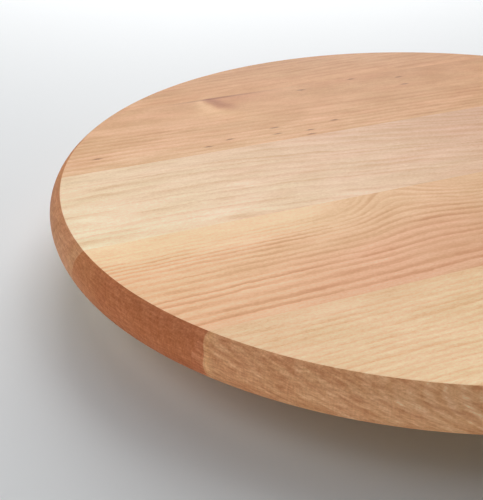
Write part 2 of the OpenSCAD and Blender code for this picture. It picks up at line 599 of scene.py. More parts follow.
@dataclass(frozen=True)
class Wood:
    """Oiled wood of one stave: rings of a log, fibres, pores, flecks and end grain.

    Attributes:
        slot: the record's material slot.
        pale: colour of the early wood.
        figure: the year rings.
        deep: colour that multiplies the wood on a ring line.
        lines: strength of the ring lines.
        along: what each part's logarithm gains in 100 mm along the grain.
        across: what it gains in 100 mm across the grain.
        rim_colour_and_shade: colour that multiplies the wood on the rim: partly its darker wood, partly
            painted shade for the light it misses.
        end_tint: colour that multiplies the wood where the fibres end.
        streaks: strength of the slanting streaks on the rim.
        mottle: strength of the soft cloudy figure.
        stipple: strength of the fine short marks.
        fibre: strength of the long fibres.
        seed: shift that makes each stave's noise its own.
        blushes: patches of another hue.
        knot: knot, if any.
        heartwood: strip of heartwood beside a seam, if any.
        flecks: places of small dark marks on the top face.
    """

    slot: str
    pale: RGB
    figure: Figure
    deep: RGB = (0.84, 0.68, 0.55)
    lines: float = 0.6
    along: RGB = (0.0, 0.0, 0.0)
    across: RGB = (0.0, 0.0, 0.0)
    rim_colour_and_shade: RGB = (0.90, 0.80, 0.72)
    end_tint: RGB = (0.80, 0.66, 0.56)
    streaks: float = 0.3
    mottle: float = 0.5
    stipple: float = 0.5
    fibre: float = 0.5
    seed: float = 0.0
    blushes: tuple[Blush, ...] = ()
    knot: Optional[Knot] = None
    heartwood: Optional[Heartwood] = None
    flecks: tuple[tuple[float, float], ...] = ()

    def spot(self, graph: Graph) -> Spot:
        """Works out what the marks read.

        The rim is where the surface turns from level. The fibres' ends show
        on it where its plan direction turns from across the grain to along it.

        Args:
            graph: the material's node graph.

        Returns:
            The fields.
        """
        x, y, z = graph.place()
        nx, ny, nz = graph.facing()
        level = self.figure.level(graph, x, y, z, self.seed)
        radial = self.figure.distance(graph, level, z)
        rim = nz.abs().smooth(0.97, 0.90)
        sideways = graph.math("SQRT", nx * nx + ny * ny + 0.0001)
        ends = (nx.abs() / sideways).smooth(0.20, 0.85) * rim
        return Spot(x, y, z, level, radial, rim, ends)

    def build(self) -> bpy.types.Material:
        """Makes the material.

        Returns:
            The material.
        """
        graph = Graph(self.slot)
        at = self.spot(graph)
        stain = Stain(graph, self.pale)
        line = self.figure.lines(graph, at.radial, at.level, at.x, self.seed)
        stain.add((line - MEAN_LINE) * self.lines * (1.0 - at.ends * 0.75), self.deep)
        stain.drift(graph.math("MINIMUM", at.x, DRIFT_END), self.along)
        stain.drift(at.y, self.across)
        cloud = self.cloud_marks(graph, stain, at)
        coarse, fine = self.fibre_marks(graph, stain, at)
        if self.knot:
            self.knot_marks(graph, stain, at)
        if self.flecks:
            stain.add(self.fleck_marks(graph, at), FLECK_TINT)
        self.rim_marks(graph, stain, at)
        height = fine * -0.5 - coarse * 0.4 - line * 0.2
        rough = 0.60 + cloud * 0.10 + fine * 0.08
        return graph.finish(stain.colour(), rough, height, relief=0.07 * MM,
                            Specular_IOR_Level=0.20, IOR=1.45)

    def cloud_marks(self, graph: Graph, stain: Stain, at: Spot) -> Field:
        """Soft clouds in the figure, and the blushes, whose edges follow the clouds.

        Args:
            graph: the material's node graph.
            stain: the wood's colour so far, which gets the marks.
            at: the point.

        Returns:
            The clouds, about zero.
        """
        patch = graph.noise(at.place, cell=(46.0, 15.0, 15.0), shift=(0.0, self.seed, 0.0), rough=0.6)
        cloud = graph.noise(at.rings, cell=(26.0, 5.0, 40.0), shift=(self.seed, 0.0, 0.0),
                            detail=3.0, rough=0.6)
        for blush in self.blushes:
            along = (at.x + patch * 40.0).smooth(*blush.x)
            across = (at.level + patch * 9.0).smooth(*blush.level)
            stain.add(along * across, blush.tint)
        stain.add(patch * (1.5 * self.mottle), PATCH_TINT)
        stain.add(cloud * (2.0 * self.mottle), CLOUD_TINT)
        return cloud

    def fibre_marks(self, graph: Graph, stain: Stain, at: Spot) -> tuple[Field, Field]:
        """Long fibres that follow the rings, and short fine marks with a finer grit.

        Args:
            graph: the material's node graph.
            stain: the wood's colour so far, which gets the marks.
            at: the point.

        Returns:
            The long fibres and the short marks, both about zero.
        """
        coarse = graph.noise(at.rings, cell=(12.0, 0.8, 12.0), shift=(0.0, self.seed, 0.0), rough=0.6)
        fine = graph.noise(at.place, cell=(2.1, 0.62, 0.62), shift=(0.0, 0.0, self.seed), rough=0.7)
        grit = graph.noise(at.place, cell=(0.9, 0.8, 0.8), shift=(0.0, self.seed, 0.0),
                           detail=1.0, rough=0.6)
        stain.add(coarse * (2.0 * self.fibre), FIBRE_TINT)
        stain.add(fine * (2.0 * self.stipple) + grit * self.stipple, STIPPLE_TINT)
        return coarse, fine

    def fleck_marks(self, graph: Graph, at: Spot) -> Field:
        """Small dark dashes in the top face: bell curves with a wobbling middle line.

        Args:
            graph: the material's node graph.
            at: the point.

        Returns:
            A field that is 1 on a dash.
        """
        wobble = graph.noise((at.x, at.y, self.seed), cell=(2.2, 2.2, 1.0)) * 1.1
        total: Term = 0.0
        for mark_x, mark_y in self.flecks:
            along = ((at.x - mark_x) / FLECK_LENGTH).bell()
            across = ((at.y - mark_y + wobble) / FLECK_WIDTH).bell()
            total = graph.math("MAXIMUM", total, along * across)
        return total * at.z.smooth(30.0, 38.0)

    def rim_marks(self, graph: Graph, stain: Stain, at: Spot) -> None:
        """The rim: darker wood and painted shade, with cut fibre ends, strands and slanting streaks.

        Args:
            graph: the material's node graph.
            stain: the wood's colour so far, which gets the marks.
            at: the point.
        """
        dashes = graph.noise(at.place, cell=(5.0, 5.0, 0.7), shift=(0.0, 0.0, self.seed), rough=0.6)
        cuts = graph.noise((at.x - at.y, at.x + at.y, at.z), cell=(0.9, 0.9, 6.0),
                           shift=(0.0, 0.0, self.seed), detail=1.0)
        strand = graph.noise(at.rings, cell=(20.0, 1.6, 60.0), shift=(self.seed, 0.0, 0.0), rough=0.6)
        # painted shade: this tint darkens the whole rim, partly for its darker wood and partly for the
        # light the sideways-facing rim gets less of than the top
        stain.add(at.rim, self.rim_colour_and_shade)
        stain.add(at.ends, self.end_tint)
        stain.add(at.ends * (dashes * 2.0 + cuts), CUT_TINT)
        stain.add((at.rim - at.ends * 0.8) * strand * 2.0, STRAND_TINT)
        stain.add(at.rim * self.streak_marks(graph, at) * self.streaks, STREAK_TINT)
        if self.heartwood:
            self.heartwood_marks(stain, at)

    def streak_marks(self, graph: Graph, at: Spot) -> Field:
        """Slanting streaks, where the rim cuts bundles of fibres at a low angle.

        The places along and across the streaks are x and z turned by their fall.

        Args:
            graph: the material's node graph.
            at: the point.

        Returns:
            A field about zero.
        """
        fall = math.radians(STREAK_FALL)
        along = at.x * math.cos(fall) - at.z * math.sin(fall)
        across = at.z * math.cos(fall) + at.x * math.sin(fall)
        slant = (along, across, at.y)
        wide = graph.noise(slant, cell=(14.0, 2.4, 14.0), shift=(0.0, 0.0, self.seed), rough=0.6)
        thin = graph.noise(slant, cell=(7.0, 0.7, 7.0), shift=(self.seed, 0.0, 0.0), rough=0.6)
        return wide * 1.6 + thin * 1.4

    def heartwood_marks(self, stain: Stain, at: Spot) -> None:
        """The strip of heartwood: its edge stands off from the seam by its width at that height.

        Args:
            stain: the wood's colour so far, which gets the strip.
            at: the point.
        """
        strip = self.heartwood
        past = strip.seam - at.y - at.z.smooth(*strip.heights) * strip.width
        edge = ((past - strip.fringe) / strip.fringe).bell()
        stain.add(past.smooth(0.25, -0.25) * at.rim, strip.tint)
        stain.add(edge * at.rim, strip.pale)

    def knot_marks(self, graph: Graph, stain: Stain, at: Spot) -> None:
        """The knot, measured from its leaning line.

        A pale wedge widens away from the seam with a dark flank beside it.
        The wood is shaded to its right, lighter past its end, and darker
        along the seam. Depths are in lengths of the knot.

        Args:
            graph: the material's node graph.
            stain: the wood's colour so far, which gets the marks.
            at: the point.
        """
        knot = self.knot
        top = at.z.smooth(20.0, 38.0)
        depth = (knot.y - at.y) / knot.length
        away = at.x - knot.x
        wobble = graph.noise((at.x, at.y, self.seed), cell=(7.0, 7.0, 1.0)) * 5.0
        side = away - depth * depth * knot.lean + wobble
        inside = depth.smooth(-0.06, 0.08) * depth.smooth(1.25, 0.55) * top
        wedge = ((side + depth * 2.0) / (depth * 5.0 + 2.8)).bell()
        flank = ((side - 6.5 - depth * 2.0) / (depth * 4.0 + 3.5)).bell()
        shade = ((away - 20.0) / 22.0).bell() * depth.smooth(-0.03, 0.05) * depth.smooth(0.8, 0.1)
        past = ((side + 3.0) / 17.0).bell() * depth.smooth(0.5, 1.0) * depth.smooth(2.2, 1.2)
        seam = ((away - 12.0) / 24.0).bell() * ((at.y - knot.y + 1.2) / 1.2).bell()
        stain.add(wedge * inside, KNOT_TINT)
        stain.add(flank * inside, KNOT_FLANK)
        stain.add(shade * top, KNOT_SHADE)
        stain.add(past * top, KNOT_PAST)
        stain.add(seam * top, KNOT_SEAM)


@dataclass(frozen=True)
class Metal:
    """Plated or polished steel with fine marks.

    Attributes:
        slot: the record's material slot.
        tone: colour of the metal.
        rough: mean roughness.
        marks: strength of the rub marks.
    """

    slot: str
    tone: RGB
    rough: float
    marks: float

    def build(self) -> bpy.types.Material:
        """Makes the material.

        Returns:
            The material.
        """
        graph = Graph(self.slot)
        x, y, z = graph.place()
        spangle = graph.noise((x, y, z), cell=(5.0, 5.0, 5.0), detail=3.0, rough=0.65)
        rub = graph.noise((x, y, z), cell=(0.4, 6.0, 0.4), rough=0.6)
        dull = tuple(part * 0.62 for part in self.tone)
        colour = graph.blend(0.35 + spangle * 1.1, self.tone, dull)
        rough = self.rough + spangle * 0.16 + rub * self.marks
        return graph.finish(colour, rough, rub + spangle, relief=0.02 * MM, metallic=1.0)


@dataclass(frozen=True)
class Moulded:
    """Rubber or nylon with a faint moulded grain.

    Attributes:
        slot: the record's material slot.
        tone: colour.
        worn: colour where it is dusty or rubbed.
        rough: mean roughness.
    """

    slot: str
    tone: RGB
    worn: RGB
    rough: float

    def build(self) -> bpy.types.Material:
        """Makes the material.

        Returns:
            The material.
        """
        graph = Graph(self.slot)
        x, y, z = graph.place()
        grain = graph.noise((x, y, z), cell=(0.35, 0.35, 0.35), rough=0.6)
        dust = graph.noise((x, y, z), cell=(4.0, 4.0, 4.0), detail=3.0, rough=0.6)
        colour = graph.blend(dust.smooth(-0.05, 0.30) * 0.6 + grain * 0.15, self.tone, self.worn)
        return graph.finish(colour, self.rough + dust * 0.15, grain, relief=0.04 * MM)


class Stave(Enum):
    """The staves of the tray, named as the frame names them."""

    REAR_OUTER = "tray_stave_rear_outer"
    REAR_INNER = "tray_stave_rear_inner"
    MIDDLE = "tray_stave_middle"
    FRONT_INNER = "tray_stave_front_inner"
    FRONT_OUTER = "tray_stave_front_outer"


TRAY_WOODS: dict[Stave, Wood] = {
    Stave.REAR_OUTER: Wood(
        slot="tray_wood_rear_outer", pale=(0.94, 0.433, 0.187), lines=0.40, mottle=1.0, stipple=0.9,
        along=(-0.04, -0.06, -0.06), across=(-0.26, -0.23, -0.27), seed=11.3,
        figure=Figure(heart=(90.0, -60.0), ring=3.4, slope=0.05)),
    Stave.REAR_INNER: Wood(
        slot="tray_wood_rear_inner", pale=(0.905, 0.543, 0.301), lines=0.50, mottle=1.0, stipple=0.9,
        along=(-0.09, -0.14, -0.21), across=(-0.28, -0.47, -0.72), seed=23.7,
        figure=Figure(heart=(170.0, -70.0), ring=3.3, slope=-0.04, uneven=0.7, quiet=(116.0, 84.0)),
        knot=Knot(x=-81.0, y=135.2, length=25.0, lean=6.0),
        flecks=((-16.0, 126.0), (52.0, 123.0), (48.0, 109.0), (22.0, 132.0), (-21.0, 70.0),
                (-59.0, 64.0), (-40.0, 62.0), (-42.0, 56.0), (-86.0, 67.0), (-100.0, 62.0),
                (-57.0, 73.0), (-159.0, 70.0))),
    Stave.MIDDLE: Wood(
        slot="tray_wood_middle", pale=(0.866, 0.546, 0.343), lines=0.36, mottle=0.8, stipple=0.9,
        fibre=0.3, along=(-0.11, -0.21, -0.22), across=(-0.18, -0.27, -0.32), seed=5.1,
        figure=Figure(heart=(-120.0, -40.0), ring=5.6, uneven=1.3, bend=0.00074, middle=-170.0,
                      wander=4.0, ripple=1.6),
        rim_colour_and_shade=(0.96, 0.85, 0.78), end_tint=(0.68, 0.45, 0.37)),
    Stave.FRONT_INNER: Wood(
        slot="tray_wood_front_inner", pale=(0.874, 0.520, 0.268), lines=0.95, deep=(0.84, 0.70, 0.59),
        mottle=0.6, stipple=0.9, along=(-0.11, -0.14, -0.15), across=(0.01, 0.10, 0.07), seed=31.9,
        figure=Figure(heart=(25.0, -60.0), ring=1.9, near=123.5, widen=0.075, uneven=0.6,
                      wander=1.5, ripple=1.1, quiet=(-28.0, -50.0),
                      hill=Hill(x=-44.0, left=21.0, right=34.0, height=18.0, y=-25.0, fade=30.0)),
        rim_colour_and_shade=(0.86, 0.62, 0.50), end_tint=(0.64, 0.48, 0.42),
        blushes=(Blush((1.04, 1.12, 1.16), (-66.0, -88.0), (-56.0, -36.0)),
                 Blush((1.0, 0.94, 0.95), (-140.0, -90.0), (-56.0, -70.0)))),
    Stave.FRONT_OUTER: Wood(
        slot="tray_wood_front_outer", pale=(0.808, 0.473, 0.238), lines=0.40, mottle=0.6, stipple=0.9,
        along=(-0.01, 0.0, -0.03), across=(-0.21, -0.32, -0.39), seed=47.2,
        figure=Figure(heart=(-40.0, -70.0), ring=2.3, uneven=0.8, wander=2.0, ripple=1.0),
        rim_colour_and_shade=(0.777, 0.567, 0.49), end_tint=(0.96, 0.90, 0.86), streaks=1.0,
        heartwood=Heartwood(seam=-102.5, width=4.6, heights=(42.0, 33.0), tint=(0.82, 0.60, 0.54),
                            fringe=1.2, pale=(1.12, 1.20, 1.16))),
}

BASE_WOODS: dict[str, Wood] = {
    "base_stave_rear": Wood(
        slot="base_wood_rear", pale=(0.79, 0.53, 0.34), seed=61.0,
        figure=Figure(heart=(150.0, -50.0), ring=3.0)),
    "base_stave_middle": Wood(
        slot="base_wood_middle", pale=(0.83, 0.61, 0.41), seed=67.4,
        figure=Figure(heart=(20.0, -45.0), ring=3.2)),
    "base_stave_front": Wood(
        slot="base_wood_front", pale=(0.77, 0.51, 0.32), seed=73.9,
        figure=Figure(heart=(-160.0, -40.0), ring=2.8)),
}

ZINC = Metal("zinc_plated_steel", (0.60, 0.61, 0.63), 0.36, 0.12)
SCREW_STEEL = Metal("screw_steel", (0.55, 0.55, 0.57), 0.32, 0.10)
BALL_STEEL = Metal("ball_steel", (0.72, 0.73, 0.75), 0.12, 0.03)
NYLON = Moulded("cage_nylon", (0.84, 0.82, 0.74), (0.74, 0.71, 0.62), 0.50)
RUBBER = Moulded("foot_rubber", (0.022, 0.022, 0.024), (0.060, 0.058, 0.055), 0.62)


# --------------------------------------------------------------------------
# Meshes
# --------------------------------------------------------------------------

ARC_STEPS = 160  # points on each end of a stave's outline
CHORD_STEPS = 24  # points on each of its straight sides


@dataclass(frozen=True)
class Arc:
    """One arc of a rim's section, between two directions of its outward normal.

    Attributes:
        radius: distance of the arc's centre from the axis.
        height: height of the arc's centre.
        size: radius of the arc.
        start: direction of the normal at the lower end, in radians above level.
        stop: direction at the upper end.
        steps: number of points on it.
    """

    radius: float
    height: float
    size: float
    start: float
    stop: float
    steps: int

    def points(self) -> np.ndarray:
        """The arc's points: its centre plus its size along each normal.

        Returns:
            Rows of distance from the axis and height.
        """
        turn = np.linspace(self.start, self.stop, self.steps)
        return np.column_stack((self.radius + self.size * np.cos(turn),
                                self.height + self.size * np.sin(turn)))


def section_of(arcs: Sequence[Arc], flat: float) -> np.ndarray:
    """A rim's section from its lower face, round the rim, to its upper face.

    Args:
        arcs: the arcs of the rim from the bottom up.
        flat: width of the flat strip kept at each face beside the rim.

    Returns:
        Rows of distance from the axis and height.
    """
    rim = np.vstack([arc.points() for arc in arcs])
    lower = rim[0] - (flat, 0.0)
    upper = rim[-1] - (flat, 0.0)
    return np.vstack((lower, rim, upper))


def cut_outlines(radii: np.ndarray, y0: float, y1: float, arc_steps: int, chord_steps: int) -> np.ndarray:
    """The outline of a disc between two straight cuts, for each of many radii.

    Each outline runs along the right arc from the front cut to the rear cut,
    back along the rear chord, down the left arc and along the front chord.
    The arc's ends lie at the angle whose sine is the cut over the radius.

    Args:
        radii: radius of each disc.
        y0: the front cut.
        y1: the rear cut.
        arc_steps: points on each arc.
        chord_steps: points on each chord.

    Returns:
        An array of plan points, shaped radii by points by 2.
    """
    front = np.arcsin(np.clip(y0 / radii, -1.0, 1.0))[:, None]
    rear = np.arcsin(np.clip(y1 / radii, -1.0, 1.0))[:, None]
    share = np.linspace(0.0, 1.0, arc_steps, endpoint=False)[None, :]
    side = np.linspace(1.0, -1.0, chord_steps, endpoint=False)[None, :]
    level = np.ones_like(side)
    up = front + (rear - front) * share
    down = rear + (front - rear) * share
    x = np.hstack((np.cos(up), np.cos(rear) * side, -np.cos(down), -np.cos(front) * side))
    y = np.hstack((np.sin(up), np.sin(rear) * level, np.sin(down), np.sin(front) * level))
    return radii[:, None, None] * np.stack((x, y), axis=-1)


def grid_faces(rows: int, columns: int, first: int = 0) -> np.ndarray:
    """Quads of a grid that is closed along its columns.

    Args:
        rows: number of rows.
        columns: number of points in each row.
        first: index of the grid's first point.

    Returns:
        Rows of four indices each, facing outwards when rows rise and columns
        run anticlockwise.
    """
    low = np.arange(rows - 1)[:, None] * columns
    here = np.arange(columns)[None, :]
    there = (here + 1) % columns
    quads = np.stack((low + here, low + there, low + columns + there, low + columns + here), axis=-1)
    return quads.reshape(-1, 4) + first


def mesh_piece(name: str, points: np.ndarray, faces: Sequence[Sequence[int]],
               smooth_below: float = 30.0) -> bpy.types.Object:
    """Makes one closed piece at the origin.

    Args:
        name: the piece's name.
        points: its corners, n by 3.
        faces: its faces as rows of indices.
        smooth_below: edges that turn less than this many degrees are shaded smooth.

    Returns:
        The new object.
    """
    data = bpy.data.meshes.new(name)
    data.from_pydata(points.tolist(), [], [list(map(int, face)) for face in faces])
    work = bmesh.new()
    work.from_mesh(data)
    bmesh.ops.remove_doubles(work, verts=work.verts, dist=0.0001 * MM)
    bmesh.ops.dissolve_degenerate(work, edges=work.edges, dist=0.00001 * MM)
    bmesh.ops.recalc_face_normals(work, faces=work.faces)
    work.to_mesh(data)
    work.free()
    data.polygons.foreach_set("use_smooth", np.ones(len(data.polygons), dtype=bool))
    data.set_sharp_from_angle(angle=math.radians(smooth_below))
    piece = bpy.data.objects.new(name, data)
    bpy.context.scene.collection.objects.link(piece)
    return piece


def stave_mesh(name: str, section: np.ndarray, y0: float, y1: float) -> bpy.types.Object:
    """One stave of a disc: its rim's section carried round the outline between two cuts.

    The surface is a function of two parameters: the place on the section,
    which gives a radius and a height, and the place round the outline that
    the disc of that radius has between the cuts.

    Args:
        name: the piece's name.
        section: rows of distance from the axis and height.
        y0: the front cut.
        y1: the rear cut.

    Returns:
        The closed stave.
    """
    plan = cut_outlines(section[:, 0], y0, y1, ARC_STEPS, CHORD_STEPS)
    rows, columns = plan.shape[:2]
    height = np.repeat(section[:, 1], columns).reshape(rows, columns, 1)
    points = np.concatenate((plan, height), axis=-1).reshape(-1, 3)
    bottom = np.arange(columns)[::-1]
    top = np.arange(columns) + (rows - 1) * columns
    faces = [*grid_faces(rows, columns), bottom, top]
    return mesh_piece(name, points, faces)


def turned(section: np.ndarray, centre: Sequence[float], steps: int) -> tuple[np.ndarray, np.ndarray]:
    """A section turned round a vertical axis.

    Args:
        section: rows of distance from the axis and height, closed on itself.
        centre: the axis in plan.
        steps: points round the axis.

    Returns:
        Points and quads of a closed ring of that section.
    """
    turn = np.linspace(0.0, math.tau, steps, endpoint=False)
    x = centre[0] + np.outer(section[:, 0], np.cos(turn))
    y = centre[1] + np.outer(section[:, 0], np.sin(turn))
    z = np.repeat(section[:, 1], steps).reshape(x.shape)
    closed = np.stack((x, y, z), axis=-1)
    closed = np.vstack((closed, closed[:1]))
    return closed.reshape(-1, 3), grid_faces(len(closed), steps)


def size_between(low: Vector, high: Vector) -> Vector:
    """The extent of a box from its two corners."""
    return high - low


def hang_on(piece: bpy.types.Object, node: str, body: str,
            material: bpy.types.Material) -> None:
    """Gives a new piece its material and body, and hides the CAD node that it stands for.

    Args:
        piece: the piece.
        node: the CAD node that it stands for.
        body: the body that it rides on.
        material: its material.
    """
    piece.data.materials.append(material)
    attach(piece, body)
    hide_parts(node)
    log.info("%s: %d faces, stands for %s on %s", piece.name, len(piece.data.polygons), node, body)


def dress_node(node: str, material: bpy.types.Material) -> None:
    """Gives a CAD node that stays a better material.

    Args:
        node: the node's name.
        material: the material for all its faces.
    """
    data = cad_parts[node].data
    data.materials.clear()
    data.materials.append(material)
    log.info("%s: kept from the frame, dressed with %s", node, material.name)


# --------------------------------------------------------------------------
# Sub-assemblies
# --------------------------------------------------------------------------


@dataclass
class Tray:
    """The turning tray: five staves with a rounded rim.

    Attributes:
        rim_depth: depth of the rim's widest point below the top face.
        rim_inset: how far the top edge stands in from it.
        arris: radius that softens the two edges of the rim.
        flat: width of the flat strip beside the rim that keeps the shading flat.
        rim_steps: points on the rim's wide arc.
        arris_steps: points on each small arc.
    """

    rim_depth: float = 10.7 * MM
    rim_inset: float = 6.0 * MM
    arris: float = 0.5 * MM
    flat: float = 0.6 * MM
    rim_steps: int = 34
    arris_steps: int = 7

    def section(self) -> np.ndarray:
        """The rim's section: a wide arc with a small arc at each edge.

        The wide arc's radius follows from its depth and inset. A small arc
        touches the flat face and the wide arc from inside, so its centre is
        one small radius below the face, and the difference of the two radii
        away from the wide arc's centre.

        Returns:
            Rows of distance from the axis and height.
        """
        low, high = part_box(Stave.MIDDLE.value)
        radius = size_between(low, high).x / 2
        wide = (self.rim_depth**2 + self.rim_inset**2) / (2 * self.rim_inset)
        centre, level = radius - wide, high.z - self.rim_depth
        inner = wide - self.arris
        rise = high.z - self.arris - level
        fall = level - low.z - self.arris
        top, bottom = math.asin(rise / inner), -math.asin(fall / inner)
        bottom_centre = centre + inner * math.cos(bottom)
        top_centre = centre + inner * math.cos(top)
        arcs = (
            Arc(bottom_centre, low.z + self.arris, self.arris, -math.pi / 2, bottom, self.arris_steps),
            Arc(centre, level, wide, bottom, top, self.rim_steps),
            Arc(top_centre, high.z - self.arris, self.arris, top, math.pi / 2, self.arris_steps),
        )
        return section_of(arcs, self.flat)

    def build(self) -> None:
        """Makes and dresses the staves."""
        section = self.section()
        reach = section[:, 0].max()
        for stave in Stave:
            low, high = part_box(stave.value)
            y0 = -reach if stave is Stave.FRONT_OUTER else low.y
            y1 = reach if stave is Stave.REAR_OUTER else high.y
            wood = TRAY_WOODS[stave]
            piece = stave_mesh(f"{stave.value}_wood", section, y0, y1)
            hang_on(piece, stave.value, "turntable", wood.build())


@dataclass
class Base:
    """The still base disc: three staves with rounded edges, kept from the frame."""

    def build(self) -> None:
        """Dresses the base's staves."""
        for node, wood in BASE_WOODS.items():
            dress_node(node, wood.build())


class HeadSide(Enum):
    """Which way a screw's head points."""

    UP = 1.0
    DOWN = -1.0


@dataclass
class Screws:
    """Four wood screws at the corners of a square: low domed heads and threaded shanks.

    Attributes:
        node: the CAD node that they stand for.
        body: the body that they ride on.
        head_radius: radius of a head.
        head_height: height of a head over its seat.
        shank_radius: radius over the thread.
        side: which way the heads point.
        pitch: pitch of the thread.
        core: share of the shank's radius that the thread leaves.
        ridge: half width of the thread's ridge, as a share of the pitch.
        plain: share of the shank's length without a thread, below the head.
        fade: share of the length over which the thread runs out there.
        tip: length of the point.
        rows: points from a head's edge to its middle.
        columns: points round the axis.
        turn_steps: rows of points in one turn of the thread.
    """

    node: str
    body: str
    head_radius: float
    head_height: float
    shank_radius: float
    side: HeadSide
    pitch: float = 1.4 * MM
    core: float = 0.72
    ridge: float = 0.26
    plain: float = 0.25
    fade: float = 0.06
    tip: float = 3.0 * MM
    rows: int = 34
    columns: int = 64
    turn_steps: int = 12

    def head(self, turn: np.ndarray) -> np.ndarray:
        """The head: an ellipse's quarter over a short wall, with a cross pressed in.

        The height at a distance r from the axis is the wall's height plus
        the rest of the head's height times the root of 1 - (r / radius)^2.
        The cross is the larger of two crossed bars with soft edges, and
        lowers the dome by its depth.

        Args:
            turn: angles round the axis.

        Returns:
            Points, rows from the head's edge to its middle.
        """
        r = self.head_radius * np.sin(np.linspace(math.pi / 2, 0.0, self.rows))[:, None]
        x, y = r * np.cos(turn), r * np.sin(turn)
        wall = 0.35 * self.head_height
        z = wall + (self.head_height - wall) * np.sqrt(1.0 - (r / self.head_radius)**2) * np.ones_like(x)
        half, reach, soft = 0.14 * self.head_radius, 0.58 * self.head_radius, 0.04 * self.head_radius
        depth = 0.55 * self.head_height

        def inside(place: np.ndarray, limit: float) -> np.ndarray:
            """A soft step that is 1 where the place is within the limit."""
            return np.clip((limit - np.abs(place)) / soft + 0.5, 0.0, 1.0)

        cross = np.maximum(inside(x, half) * inside(y, reach), inside(y, half) * inside(x, reach))
        return np.stack((x, y, z - cross * depth), axis=-1)

    def shank(self, turn: np.ndarray, length: float) -> np.ndarray:
        """The shank: a core with one ridge wound round it, and a point.

        The ridge stands where the fraction of depth over pitch less the
        share of a turn is near one half, and runs out below the head. Near
        the point the radius shrinks in proportion to the distance from it.

        Args:
            turn: angles round the axis.
            length: the shank's length.

        Returns:
            Points, rows from the point up to the head's seat.
        """
        z = -length + length * np.linspace(0.0, 1.0, int(self.turn_steps * length / self.pitch))[:, None]
        phase = np.mod(-z / self.pitch - turn / math.tau, 1.0)
        ridge = np.clip(1.0 - np.abs(phase - 0.5) / self.ridge, 0.0, 1.0)
        plain = np.clip((z + self.plain * length) / (self.fade * length), 0.0, 1.0)
        ridge = np.maximum(ridge * (1.0 - plain), plain * 0.6)
        taper = np.clip((z + length) / self.tip, 0.04, 1.0)
        r = self.shank_radius * taper * (self.core + (1.0 - self.core) * ridge)
        return np.stack((r * np.cos(turn), r * np.sin(turn), z * np.ones_like(turn)), axis=-1)

    def build(self, material: bpy.types.Material, slot: str) -> None:
        """Makes the four screws as one piece.

        Args:
            material: their material.
            slot: the record's material slot; not used.
        """
        low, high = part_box(self.node)
        reach = high.x - self.head_radius
        length = size_between(low, high).z - self.head_height
        seat = high.z - self.head_height if self.side is HeadSide.UP else low.z + self.head_height
        turn = np.linspace(0.0, math.tau, self.columns, endpoint=False)[None, :]
        under = self.head_radius * np.stack((np.cos(turn), np.sin(turn), 0.0 * turn), axis=-1)
        screw = np.concatenate((self.shank(turn, length), under, self.head(turn)))
        screw[..., 1:] *= self.side.value
        rows = len(screw)
        end = np.arange(self.columns)[::-1]
        points, faces = [], []
        for x, y in ((-1, 1), (1, 1), (-1, -1), (1, -1)):
            first = len(points) * rows * self.columns
            points.append(screw.reshape(-1, 3) + (x * reach, y * reach, seat))
            faces.extend([*grid_faces(rows, self.columns, first), end + first])
        piece = mesh_piece(f"{self.node}_threaded", np.vstack(points), faces, smooth_below=40.0)
        hang_on(piece, self.node, self.body, material)


@dataclass
class Bearing:
    """The square plate bearing: two plates, the balls and their cage, and the screws.

    Attributes:
        head_radius: radius of a plate screw's head.
        head_height: height of the head.
        shank_radius: radius of its thread.
    """

    head_radius: float = 3.5 * MM
    head_height: float = 2.0 * MM
    shank_radius: float = 1.75 * MM

    def build(self) -> None:
        """Dresses the plates, balls and cage, and makes the screws."""
        zinc, screw = ZINC.build(), SCREW_STEEL.build()
        dress_node("upper_race_plate", zinc)
        dress_node("lower_race_plate", zinc)
        dress_node("bearing_balls", BALL_STEEL.build())
        dress_node("ball_cage", NYLON.build())
        sizes = (self.head_radius, self.head_height, self.shank_radius)
        Screws("upper_plate_screws", "turntable", *sizes, HeadSide.DOWN).build(screw, SCREW_STEEL.slot)
        Screws("lower_plate_screws", "base", *sizes, HeadSide.UP).build(screw, SCREW_STEEL.slot)


